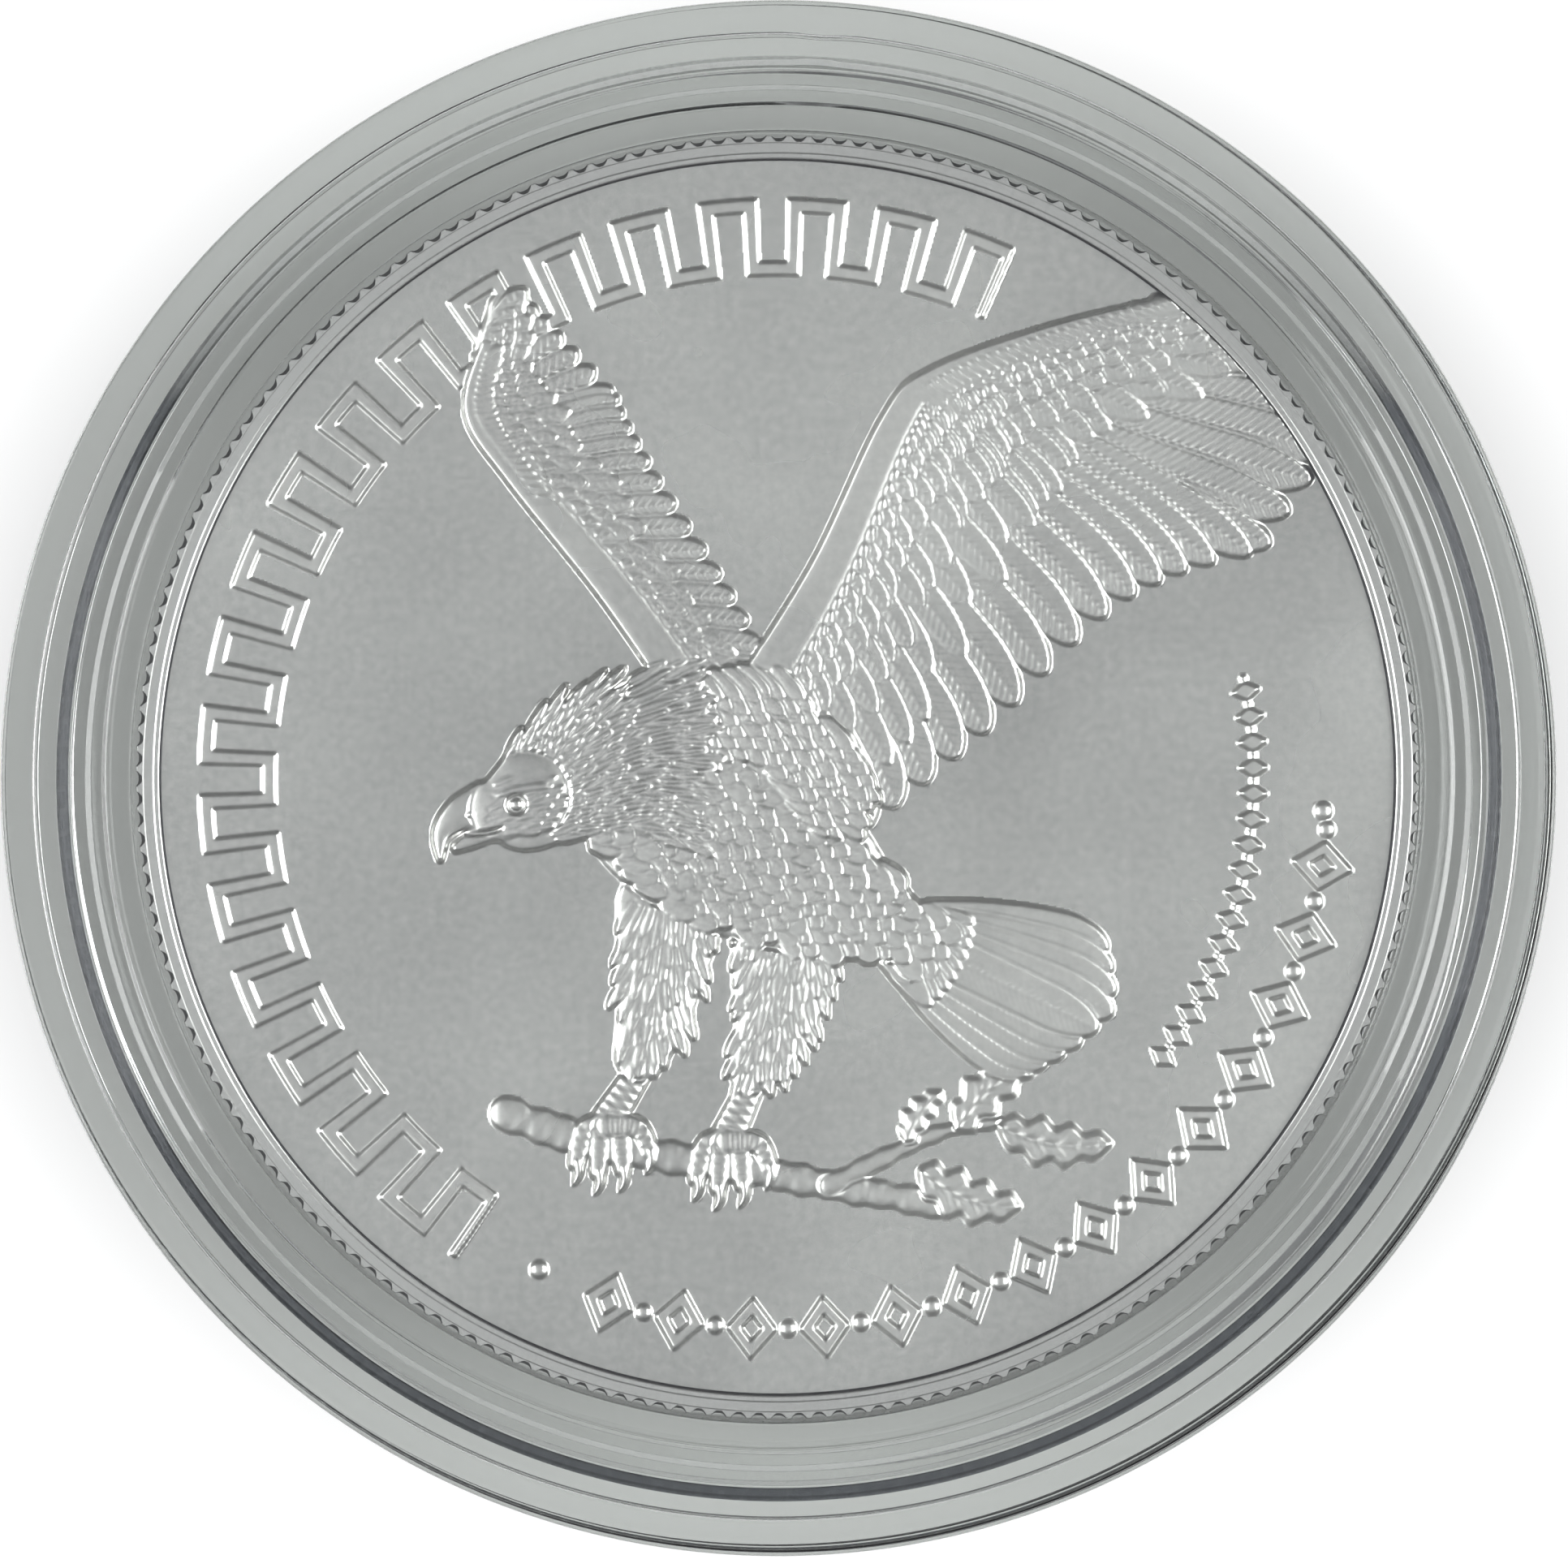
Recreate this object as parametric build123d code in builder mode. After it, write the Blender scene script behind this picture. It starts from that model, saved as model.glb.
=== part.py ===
from build123d import *
import os

# A round friction-fit capsule for one coin. Millimetres, +Z up.
# The origin is the middle of the bottom face, and Z is the axis of every ring.

# Coin
coin_diameter = 40.6
coin_thickness = 2.98
coin_rim_width = 0.66
coin_rim_draft = 25
coin_field_depth = 0.32
coin_edge_radius = 0.06
reed_count = 200
reed_depth = 0.10
flute_radius = 0.18

# Capsule outside
capsule_diameter = 49.0
capsule_height = 6.8
ring_height = 0.75
ring_inner_diameter = 45.5
ring_foot_diameter = 44.8
outer_corner_radius = 0.15
parting_chamfer = 0.10

# Windows: a thin clear disc, sunk by two narrow moulded steps
step_diameters = (43.72, 42.72)
step_width = 0.16
step_depth = 0.08
step_radius = 0.12

# Fits
coin_clearance_below = 0.02
coin_clearance_above = 0.04
coin_clearance_round = 0.15
fit_clearance = 0.05
parting_gap = 0.02

# Coin well and the tongue that the lid grips
well_wall = 0.85
well_lip_below_lid = 0.47
tongue_width = 1.0
tongue_below_lid = 0.30
tongue_lead_in = 0.08
lip_radius = 0.12

# Mark left by the injection gate on each ring
gate_angle = 87.0
gate_width = 1.2
gate_reach = 0.30
gate_depth = 0.12

# Worked out from the above
capsule_radius = capsule_diameter / 2
coin_radius = coin_diameter / 2
coin_play = coin_clearance_below + coin_clearance_above
window_thickness = (capsule_height - coin_thickness - coin_play) / 2 - ring_height
base_window_top = ring_height + window_thickness
lid_window_low = capsule_height - base_window_top
parting_height = capsule_height / 2
well_radius = coin_radius + coin_clearance_round
tongue_inner_radius = ring_foot_diameter / 2 + fit_clearance
tongue_outer_radius = tongue_inner_radius + tongue_width
rebate_radius = tongue_outer_radius + fit_clearance
coin_bottom = base_window_top + coin_clearance_below
coin_top = coin_bottom + coin_thickness


def outside(face_height, up):
    """Outline of one shell's outer side, from the axis to the parting line, as (radius, height).

    face_height is the shell's outer face, and up is 1 for the base and -1 for the lid.
    """
    steps = []
    for number, diameter in enumerate(step_diameters):
        floor = ring_height + number * step_depth
        steps.insert(0, (diameter / 2, face_height + up * floor))
        steps.insert(0, (diameter / 2 - step_width, face_height + up * (floor + step_depth)))
    return [
        (0, steps[0][1]),
        *steps,
        (ring_foot_diameter / 2, face_height + up * ring_height),
        (ring_inner_diameter / 2, face_height),
        (capsule_radius, face_height),
    ]


def round_corners(sketch, points, radius):
    """Rounds the sketch's corners that lie at the given points."""
    corners = [sketch.vertices().sort_by_distance((x, y, 0))[0] for x, y in points]
    fillet(corners, radius=radius)


def gate_mark(face_height):
    """Cuts the shallow notch of the injection gate into the inner edge of a ring."""
    with BuildSketch(Plane.XY.offset(face_height)) as notch:
        with PolarLocations(ring_inner_diameter / 2, 1, start_angle=gate_angle):
            Rectangle(2 * gate_reach, gate_width)
    extrude(notch.sketch, amount=gate_depth, both=True, mode=Mode.SUBTRACT)


# Base shell: window, foot ring, coin well and tongue
base_outside = outside(0, 1)
well_top = lid_window_low - well_lip_below_lid
tongue_top = lid_window_low - tongue_below_lid
well_lips = [
    (well_radius + well_wall, well_top),
    (well_radius, well_top),
]
with BuildPart() as base_shell:
    with BuildSketch(Plane.XZ) as base_profile:
        with BuildLine():
            Polyline(
                *base_outside,
                (capsule_radius, parting_height - parting_chamfer),
                (capsule_radius - parting_chamfer, parting_height),
                (tongue_outer_radius, parting_height),
                (tongue_outer_radius, tongue_top - tongue_lead_in),
                (tongue_outer_radius - tongue_lead_in, tongue_top),
                (tongue_inner_radius, tongue_top),
                (tongue_inner_radius, base_window_top),
                (well_radius + well_wall, base_window_top),
                *well_lips,
                (well_radius, base_window_top),
                (0, base_window_top),
                close=True,
            )
        make_face()
        round_corners(base_profile, base_outside[1:5], step_radius)
        round_corners(base_profile, base_outside[-1:], outer_corner_radius)
        round_corners(base_profile, well_lips, lip_radius)
    revolve(axis=Axis.Z)
    gate_mark(0)

# Lid shell: window, stacking ring and the rebate that fits over the tongue
lid_outside = outside(capsule_height, -1)
lid_rim = parting_height + parting_gap
with BuildPart() as lid_shell:
    with BuildSketch(Plane.XZ) as lid_profile:
        with BuildLine():
            Polyline(
                *lid_outside,
                (capsule_radius, lid_rim + parting_chamfer),
                (capsule_radius - parting_chamfer, lid_rim),
                (rebate_radius + tongue_lead_in, lid_rim),
                (rebate_radius, lid_rim + tongue_lead_in),
                (rebate_radius, lid_window_low),
                (0, lid_window_low),
                close=True,
            )
        make_face()
        round_corners(lid_profile, lid_outside[1:5], step_radius)
        round_corners(lid_profile, lid_outside[-1:], outer_corner_radius)
    revolve(axis=Axis.Z)
    gate_mark(capsule_height)

# Coin: reeded disc with a raised rim round a sunk field on both faces
field_radius = coin_radius - coin_rim_width
with BuildPart() as coin:
    with BuildSketch(Plane.XY.offset(coin_bottom)):
        Circle(coin_radius)
    extrude(amount=coin_thickness)
    chamfer(coin.edges().filter_by(GeomType.CIRCLE), length=coin_edge_radius)
    with BuildSketch(Plane.XY.offset(coin_bottom)):
        with PolarLocations(coin_radius - reed_depth + flute_radius, reed_count):
            Circle(flute_radius)
    extrude(amount=coin_thickness, mode=Mode.SUBTRACT)
    with BuildSketch(Plane.XY.offset(coin_top)):
        Circle(field_radius)
    extrude(amount=-coin_field_depth, taper=coin_rim_draft, mode=Mode.SUBTRACT)
    with BuildSketch(Plane.XY.offset(coin_bottom)):
        Circle(field_radius)
    extrude(amount=coin_field_depth, taper=coin_rim_draft, mode=Mode.SUBTRACT)

os.makedirs("parts", exist_ok=True)

base_shell.part.label = "base_shell"
export_step(base_shell.part, "parts/base_shell.step")

lid_shell.part.label = "lid_shell"
export_step(lid_shell.part, "parts/lid_shell.step")

coin.part.label = "coin"
export_step(coin.part, "parts/coin.step")
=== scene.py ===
"""Looks of a clear coin capsule: two lathed shells, a coin with sculpted faces, light and camera."""

import math

import bmesh
import bpy
import numpy as np
from mathutils import Matrix, Vector


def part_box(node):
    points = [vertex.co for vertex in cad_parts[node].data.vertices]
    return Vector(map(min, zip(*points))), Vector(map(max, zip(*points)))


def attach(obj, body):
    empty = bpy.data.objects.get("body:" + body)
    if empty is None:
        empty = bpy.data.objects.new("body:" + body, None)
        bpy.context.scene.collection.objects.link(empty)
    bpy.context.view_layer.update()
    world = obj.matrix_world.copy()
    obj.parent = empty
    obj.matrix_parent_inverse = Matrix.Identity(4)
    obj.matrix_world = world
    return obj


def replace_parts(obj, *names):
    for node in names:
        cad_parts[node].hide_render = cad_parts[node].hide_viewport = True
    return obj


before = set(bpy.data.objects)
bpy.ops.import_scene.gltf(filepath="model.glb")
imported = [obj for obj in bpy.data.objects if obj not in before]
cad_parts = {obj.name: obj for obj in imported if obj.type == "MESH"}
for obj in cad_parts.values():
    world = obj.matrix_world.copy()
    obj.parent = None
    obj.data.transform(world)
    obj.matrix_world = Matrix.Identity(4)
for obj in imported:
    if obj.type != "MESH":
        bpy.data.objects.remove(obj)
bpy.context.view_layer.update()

MM = 0.001

# ---------------------------------------------------------------- sizes, in millimetres
BASE_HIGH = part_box("base_shell")[1] / MM
LID_LOW, LID_HIGH = [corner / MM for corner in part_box("lid_shell")]
COIN_LOW, COIN_HIGH = [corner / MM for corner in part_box("coin")]

# where the pieces lie, from the frame, and the radius of the coin without its flutes
CAPSULE_RADIUS = BASE_HIGH.x
CAPSULE_HEIGHT = LID_HIGH.z
PARTING = CAPSULE_HEIGHT / 2
LID_RIM = LID_LOW.z
TONGUE_TOP = BASE_HIGH.z
COIN_RADIUS = 20.3
COIN_BOTTOM = COIN_LOW.z
COIN_TOP = COIN_HIGH.z
WINDOW_TOP = COIN_BOTTOM - 0.02
LID_UNDER = CAPSULE_HEIGHT - WINDOW_TOP

# shells: the raised ring, the two steps inside it, the gate mark, the well and the lid's fit;
# EDGE is the radius of every small corner
RING_HEIGHT = 0.75
RING_INNER = 22.75
RING_FOOT = 22.40
STEPS = (21.86, 21.36)
STEP_WIDTH = 0.16
STEP_DEPTH = 0.08
STEP_BEND = 0.12
TOOL_MARK = 0.012
GATE_ANGLE = 87
GATE_WIDTH = 1.2
GATE_REACH = 0.30
GATE_DEPTH = 0.12
WELL_RADIUS = COIN_RADIUS + 0.15
WELL_WALL = 0.85
WELL_TOP = LID_UNDER - 0.47
WELL_BEND = 0.12
TONGUE_INNER = 22.45
TONGUE_OUTER = 23.45
REBATE = 23.50
LEAD_IN = 0.08
RIM_CHAMFER = 0.1
RIM_BEND = 0.15
EDGE = 0.05
SHELL_SEGMENTS = 360

# coin: the sunk field, the grids its faces are sculpted on, how far a relief is sunk into the field, and
# the flutes of its edge, which are deepest at the faces and painted near-black there over a short height, as
# painted shade
FIELD_RADIUS = 19.64
FIELD_DEPTH = 0.32
FIELD_CELL = 0.05
UNDERSIDE_CELL = 0.10
SUNK = 0.03
LOWEST_RELIEF = 0.003
REEDS = 200
REED_DEPTH = 0.08
POINTS_PER_REED = 8
FLUTE_AT_FACE = 0.20
FLUTE_SHARE = 0.55
FLUTE_SHADE = (0.08, 0.50)

# the pieces of the coin's upper face, numbered as the sculpting marks them, and the one of its lower face
PIECE_NAMES = ("near_wing", "bird_body", "far_wing", "branch", "border")
NEAR_WING, BIRD_BODY, FAR_WING, BRANCH, BORDER = 1, 2, 3, 4, 5
UNDERSIDE = 1

rng = np.random.default_rng(7)


# ---------------------------------------------------------------- mesh helpers
def add_object(name, vertices, faces, body, material):
    """A mesh object from vertices in millimetres, riding one body of the frame."""
    mesh = bpy.data.meshes.new(name)
    mesh.from_pydata((np.asarray(vertices, float) * MM).tolist(), [], faces)
    mesh.materials.append(material)
    item = bpy.data.objects.new(name, mesh)
    bpy.context.scene.collection.objects.link(item)
    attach(item, body)
    return item


def rounded(corners, steps=5):
    """Turns (radius, height, corner radius) triples into an outline with arcs at its corners."""
    outline = []
    count = len(corners)
    for i, (r, z, bend) in enumerate(corners):
        here = np.array((r, z), float)
        before = np.array(corners[i - 1][:2], float) - here
        after = np.array(corners[(i + 1) % count][:2], float) - here
        if bend == 0:
            outline.append(tuple(here))
            continue
        a = before / np.linalg.norm(before)
        b = after / np.linalg.norm(after)
        half = math.acos(np.clip(a @ b, -1, 1)) / 2
        room_before = np.linalg.norm(before) * (0.45 if corners[i - 1][2] else 0.95)
        room_after = np.linalg.norm(after) * (0.45 if corners[(i + 1) % count][2] else 0.95)
        bend = min(bend, math.tan(half) * min(room_before, room_after))
        centre = here + (a + b) / np.linalg.norm(a + b) * bend / math.sin(half)
        start = here + a * bend / math.tan(half) - centre
        end = here + b * bend / math.tan(half) - centre
        turn = math.atan2(start[0] * end[1] - start[1] * end[0], start @ end)
        for k in range(steps + 1):
            c, s = math.cos(turn * k / steps), math.sin(turn * k / steps)
            turned = (c * start[0] - s * start[1], s * start[0] + c * start[1])
            outline.append((centre[0] + turned[0], centre[1] + turned[1]))
    return outline


def lathe(name, outline, segments, body, material):
    """Turns an open outline, whose two ends lie on the axis, into a closed solid of revolution."""
    ring_angle = np.arange(segments) * 2 * math.pi / segments
    vertices = [(0, 0, outline[0][1])]
    for r, z in outline[1:-1]:
        vertices += list(zip(r * np.cos(ring_angle), r * np.sin(ring_angle), np.full(segments, z)))
    vertices.append((0, 0, outline[-1][1]))
    last = len(vertices) - 1
    faces = []
    for k in range(segments):
        n = (k + 1) % segments
        faces.append((0, 1 + n, 1 + k))
        for ring in range(len(outline) - 3):
            low = 1 + ring * segments
            faces.append((low + k, low + n, low + segments + n, low + segments + k))
        top = 1 + (len(outline) - 3) * segments
        faces.append((top + k, top + n, last))
    item = add_object(name, vertices, faces, body, material)
    item.data.shade_smooth()
    item.modifiers.new("even_normals", "WEIGHTED_NORMAL").keep_sharp = True
    return item


# ---------------------------------------------------------------- sculpting
class Canvas:
    """A square grid of heights over the coin's field, in millimetres, that notes whose each height is."""

    def __init__(self, radius, cell):
        self.cell = cell
        self.low = -radius
        count = int(round(2 * radius / cell)) + 1
        line = np.linspace(-radius, radius, count)
        self.x, self.y = np.meshgrid(line, line, indexing="ij")
        self.height = np.zeros_like(self.x)
        self.owner = np.zeros(self.x.shape, int)

    def trim(self, radius):
        """Ends everything at the rim of the field."""
        outside = np.hypot(self.x, self.y) > radius
        self.height[outside] = 0
        self.owner[outside] = 0

    def soften(self, passes):
        """Rounds every edge slightly, as in struck metal."""
        for axis in (0, 1) * passes:
            ahead = np.roll(self.height, 1, axis)
            behind = np.roll(self.height, -1, axis)
            self.height = 0.5 * self.height + 0.25 * (ahead + behind)
            either_side = np.maximum(np.roll(self.owner, 1, axis), np.roll(self.owner, -1, axis))
            self.owner = np.where(self.owner > 0, self.owner, either_side)

    def around(self, points, margin):
        """The slice of the grid that covers the points with a margin."""
        points = np.asarray(points, float)
        low = np.floor((points.min(0) - margin - self.low) / self.cell).astype(int)
        high = np.ceil((points.max(0) + margin - self.low) / self.cell).astype(int) + 1
        low = np.clip(low, 0, len(self.x))
        high = np.clip(high, 0, len(self.x))
        return np.s_[low[0]:high[0], low[1]:high[1]]

    def lay(self, part, inside, height, owner):
        """Lays a height over the slice where inside, a distance from the edge, is above zero."""
        cover = np.clip(0.5 + inside / self.cell, 0, 1)
        self.height[part] += cover * (height - self.height[part])
        self.owner[part] = np.where(cover > 0.5, owner, self.owner[part])


def smooth(value):
    """Eases from 0 to 1, and holds beyond them."""
    value = np.clip(value, 0, 1)
    return value * value * (3 - 2 * value)


def mix(a, b, share):
    """The value a share of the way from a to b."""
    return a + (b - a) * share


def point(x, y):
    return np.array([x, y], float)


def polar(radius, degrees):
    return radius * np.array([math.cos(math.radians(degrees)), math.sin(math.radians(degrees))])


def heading(degrees):
    """A step of one millimetre in a direction."""
    return polar(1.0, degrees)


SHAFT_WIDTH = 0.07
BARB_SLANT = 0.9


def blade(canvas, root, tip, width, rise=0.05, base=(0.1, 0.06), bend=0.0, tipness=0.5, rootness=0.3,
          bevel=0.12, shaft=0.02, barbs=0.0, barb_pitch=0.22, tilt=0.0, owner=1, lobes=0, lobe_depth=0.3):
    """One feather or leaf from root to tip: rounded ends, a bevelled edge, a shaft and slanting barbs.

    Tipness and rootness are the shares of its length that the two rounded ends take up.
    """
    along = tip - root
    length = math.hypot(*along)
    axis = along / length
    across = point(-axis[1], axis[0])
    part = canvas.around([root, tip], width + abs(bend))
    dx = canvas.x[part] - root[0]
    dy = canvas.y[part] - root[1]
    t = (dx * axis[0] + dy * axis[1]) / length
    s = dx * across[0] + dy * across[1] - bend * 4 * t * (1 - t)
    t_in = np.clip(t, 0, 1)
    near_tip = np.clip((t_in - (1 - tipness)) / tipness, 0, 1)
    near_root = np.clip((rootness - t_in) / rootness, 0, 1)
    half = width / 2 * np.sqrt(np.clip(1 - near_tip ** 2.2, 0, 1))
    half = half * np.sqrt(np.clip(1 - near_root ** 2, 0, 1))
    if lobes:
        half = half * (1 - lobe_depth * (0.5 + 0.5 * np.cos(2 * math.pi * lobes * t_in)))
    inside = half - np.abs(s)
    inside = np.where((t < 0) | (t > 1), -1.0, inside)
    edge = smooth(inside / bevel)
    side = s / (width / 2)
    height = mix(base[0], base[1], t_in) + rise * edge + tilt * side * edge
    height += shaft * np.exp(-(s / SHAFT_WIDTH) ** 2) * edge * (1 - 0.6 * t_in)
    if barbs:
        vane = smooth(inside / bevel - 0.8)
        reach = t * length - BARB_SLANT * np.abs(s)
        height += barbs * vane * np.cos(2 * math.pi * reach / barb_pitch)
    canvas.lay(part, inside, height, owner)


def limb(canvas, points, radii, top, owner, base=0.0, roundness=1.0, wobble=0.0, stripes=0.0, pitch=0.4):
    """A rounded limb along a chain of points, with a radius at each; wobble roughens its two sides."""
    points = [np.asarray(p, float) for p in points]
    part = canvas.around(points, max(radii) + 0.3)
    x = canvas.x[part]
    y = canvas.y[part]
    inside = np.full(x.shape, -9.0)
    run = np.zeros(x.shape)
    size = np.full(x.shape, radii[0])
    done = 0.0
    for a, b, ra, rb in zip(points, points[1:], radii, radii[1:]):
        d = b - a
        length = math.hypot(*d)
        t = np.clip(((x - a[0]) * d[0] + (y - a[1]) * d[1]) / length ** 2, 0, 1)
        r = mix(ra, rb, t)
        off = np.hypot(x - a[0] - t * d[0], y - a[1] - t * d[1])
        here = r - off
        nearer = here > inside
        inside = np.where(nearer, here, inside)
        run = np.where(nearer, done + t * length, run)
        size = np.where(nearer, r, size)
        done += length
    if wobble:
        inside = inside + wobble * np.sin(run * 2.1) * np.sin(run * 5.3 + 1.0)
    depth = np.clip(inside / (size * roundness), 0, 1)
    height = base + top * np.sqrt(1 - (1 - depth) ** 2)
    if stripes:
        height += stripes * np.cos(2 * math.pi * run / pitch) * smooth(depth * 2)
    canvas.lay(part, inside, height, owner)


def line_points(*corners, count=40):
    """Points along a Catmull-Rom curve through a chain of corners, as many in each stretch."""
    corners = np.array(corners, float)
    out = []
    n = len(corners) - 1
    for value in np.linspace(0, 1, count):
        k = min(int(value * n), n - 1)
        f = value * n - k
        p0 = corners[max(k - 1, 0)]
        p1 = corners[k]
        p2 = corners[k + 1]
        p3 = corners[min(k + 2, n)]
        square = (2 * p0 - 5 * p1 + 4 * p2 - p3) * f * f
        cube = (3 * p1 - p0 - 3 * p2 + p3) * f ** 3
        out.append(0.5 * (2 * p1 + (p2 - p0) * f + square + cube))
    return np.array(out)


def at(curve, share):
    """The point a share of the way along a curve of evenly numbered points."""
    place = share * (len(curve) - 1)
    k = min(int(place), len(curve) - 2)
    return mix(curve[k], curve[k + 1], place - k)


# ---------------------------------------------------------------- the coin's two faces
def flight_row(canvas, arm, shares, angles, lengths, count, owner, shift=(0, 0), width=1.75,
               base=(0.15, 0.06), bend=0.35, lean=0.018):
    """Long overlapping feathers that hang from the arm. Each pair gives the first and last one's value."""
    for i in range(count):
        f = i / (count - 1)
        root = at(arm, mix(*shares, f)) + point(*shift)
        angle = mix(*angles, f)
        tip = root + mix(*lengths, f ** 0.8) * heading(angle)
        blade(canvas, root, tip, width, base=base, rise=0.055, bend=bend, tipness=0.3, rootness=0.1,
              bevel=0.13, shaft=0.03, barbs=0.011, barb_pitch=0.30, tilt=lean, owner=owner)


def covert_row(canvas, arm, number, shares, angles, lengths, width, base, owner, shift=(0, 0), lean=0.014):
    """One row of short feathers that cover the roots of the row below."""
    for i in range(number):
        f = i / (number - 1)
        root = at(arm, mix(*shares, f)) + point(*shift)
        angle = mix(*angles, f ** 0.85) + 7 * (rng.random() - 0.5)
        length = mix(*lengths, f) * (0.92 + 0.16 * rng.random())
        blade(canvas, root + heading(angle) * length * 0.12, root + length * heading(angle), width,
              base=(base, base - 0.03), rise=0.042, bend=0.1, tipness=0.45, rootness=0.2, bevel=0.12,
              shaft=0.02, barbs=0.008, barb_pitch=0.28, tilt=lean, owner=owner)


def near_wing(canvas):
    """Flight feathers, then five rows of coverts over their roots, then the arm and its edge feathers."""
    owner = NEAR_WING
    low = (0.13, 0.05)
    arm = line_points((-0.8, 2.6), (1.6, 6.6), (3.7, 11.2), (5.0, 12.6), (8.6, 14.0), (12.4, 15.0),
                      count=60)
    flight_row(canvas, arm, (0.98, 0.86), (10, -4), (5.2, 8.6), 4, owner, (0, -0.3), 1.7, low, -0.2)
    flight_row(canvas, arm, (0.82, 0.60), (-8, -24), (9.8, 11.6), 6, owner, (0, -0.5), 1.75, low, -0.2)
    flight_row(canvas, arm, (0.58, 0.06), (-27, -60), (11.0, 5.4), 14, owner, (0.4, -0.4), 1.6)
    full = (6.6, 5.6)
    rows = (
        (26, 0.92, 1.2, 0.17),
        (32, 0.62, 1.0, 0.185),
        (38, 0.40, 0.85, 0.20),
        (46, 0.24, 0.65, 0.215),
        (52, 0.13, 0.5, 0.225),
    )
    for number, reach, width, base in rows:
        lengths = (full[0] * reach * 0.8, full[1] * reach)
        covert_row(canvas, arm, number, (0.97, 0.05), (0, -62), lengths, width, base, owner, (0.12, -0.2))
    limb(canvas, arm, np.linspace(0.72, 0.26, len(arm)), 0.07, owner, base=0.18, roundness=0.5)
    for share in np.arange(0.52, 0.99, 0.016):
        root = at(arm, share) + point(0.0, 0.12)
        tip = root + 0.85 * heading(mix(-70, -10, share))
        blade(canvas, root, tip, 0.34, base=(0.235, 0.215), rise=0.03, tipness=0.6, bevel=0.1,
              shaft=0.01, owner=owner)


def far_wing(canvas):
    """The wing behind the body, built up as the near one is."""
    owner = FAR_WING
    arm = line_points((-2.6, 2.4), (-5.2, 6.0), (-8.2, 9.6), (-9.6, 11.6), (-9.2, 13.6), count=50)
    flight_row(canvas, arm, (0.98, 0.66), (72, 18), (1.9, 4.3), 9, owner, width=1.0, base=(0.10, 0.05),
               bend=-0.12, lean=-0.014)
    flight_row(canvas, arm, (0.66, 0.05), (14, -14), (4.4, 3.7), 16, owner, width=1.0, base=(0.12, 0.05),
               bend=-0.12, lean=-0.014)
    rows = (
        (24, 2.8, 0.85, 0.14),
        (28, 2.0, 0.75, 0.155),
        (34, 1.3, 0.6, 0.17),
        (42, 0.75, 0.45, 0.18),
    )
    for number, length, width, base in rows:
        lengths = (length * 0.8, length)
        covert_row(canvas, arm, number, (0.97, 0.04), (58, -20), lengths, width, base, owner, lean=-0.012)
    limb(canvas, arm, np.linspace(0.70, 0.26, len(arm)), 0.07, owner, base=0.14, roundness=0.5)
    for share in np.arange(0.45, 0.97, 0.022):
        root = at(arm, share)
        tip = root + 0.7 * heading(mix(-60, 30, share))
        blade(canvas, root, tip, 0.34, base=(0.2, 0.18), rise=0.03, tipness=0.6, bevel=0.1, shaft=0.01,
              owner=owner)


def tail(canvas):
    """Nine tail feathers, the outer ones first and the middle one on top, under two rows of coverts."""
    owner = BIRD_BODY
    count = 9
    for k in (0, 8, 1, 7, 2, 6, 3, 5, 4):
        f = k / (count - 1)
        root = point(3.2, -4.6)
        angle = mix(-6, -46, f)
        length = mix(8.0, 6.6, abs(f - 0.35) * 1.4)
        blade(canvas, root + heading(angle) * 0.4, root + length * heading(angle), 1.5, base=(0.16, 0.05),
              rise=0.05, bend=mix(0.35, -0.35, f), tipness=0.25, rootness=0.2, bevel=0.15, shaft=0.025,
              barbs=0.005, tilt=0.012 if f > 0.5 else -0.012, owner=owner)
    for reach in (3.6, 2.6):
        for i in range(count):
            angle = mix(-2, -52, i / (count - 1))
            root = point(2.6, -4.4)
            blade(canvas, root, root + reach * heading(angle), 0.95, base=(0.2, 0.17), rise=0.04,
                  tipness=0.45, bevel=0.12, shaft=0.015, barbs=0.004, owner=owner)


# the body's middle line, and its half width at each point: widest at the breast
SPINE = line_points((-5.2, 0.5), (-3.2, -0.5), (-0.8, -2.0), (2.0, -3.9), (4.4, -5.0), count=30)
GIRTH = [mix(2.3, 3.4, smooth(i / 10)) for i in range(12)]
GIRTH += [mix(3.4, 1.0, smooth((i - 11) / 18)) for i in range(12, 30)]


def nearest(curve, place):
    """How far the place is from the curve, and the number of the curve's nearest point."""
    off = np.hypot(*(curve - place).T)
    k = int(np.argmin(off))
    return off[k], k


def body(canvas):
    """The smooth mass of the body, then rows of feathers that follow its crown."""
    limb(canvas, SPINE, GIRTH, 0.16, BIRD_BODY, base=0.03, roundness=0.6)

    def inside(place):
        off, k = nearest(SPINE, place)
        return off < GIRTH[k] * 0.95

    def flow(place):
        off, k = nearest(SPINE, place)
        side = math.copysign(off / GIRTH[k], place[1] - SPINE[k][1])
        return mix(-12, -40, smooth((place[0] + 5) / 6)) + 14 * side

    def crown(place):
        off, k = nearest(SPINE, place)
        return 0.11 + 0.075 * math.sqrt(max(0.0, 1 - (off / GIRTH[k]) ** 2))

    area = (point(-8, -8), point(6, 5), inside)
    plumage(canvas, area, 0.56, 1.2, 0.76, flow, BIRD_BODY, crown, rise=0.048, jitter=0.3, barbs=0.006)


def shoulder(canvas):
    """Loose feathers that run from the back on to the near wing's root."""
    line = line_points((-2.6, 1.9), (-0.9, 2.3), (0.4, 1.2), (1.6, -0.4), count=20)

    def inside(place):
        return nearest(line, place)[0] < 1.25

    def flow(place):
        return -42.0

    def crown(place):
        return 0.225

    area = (point(-5, -3), point(4, 5), inside)
    plumage(canvas, area, 0.5, 1.5, 0.62, flow, NEAR_WING, crown, rise=0.055, jitter=0.4, barbs=0.006)


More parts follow.
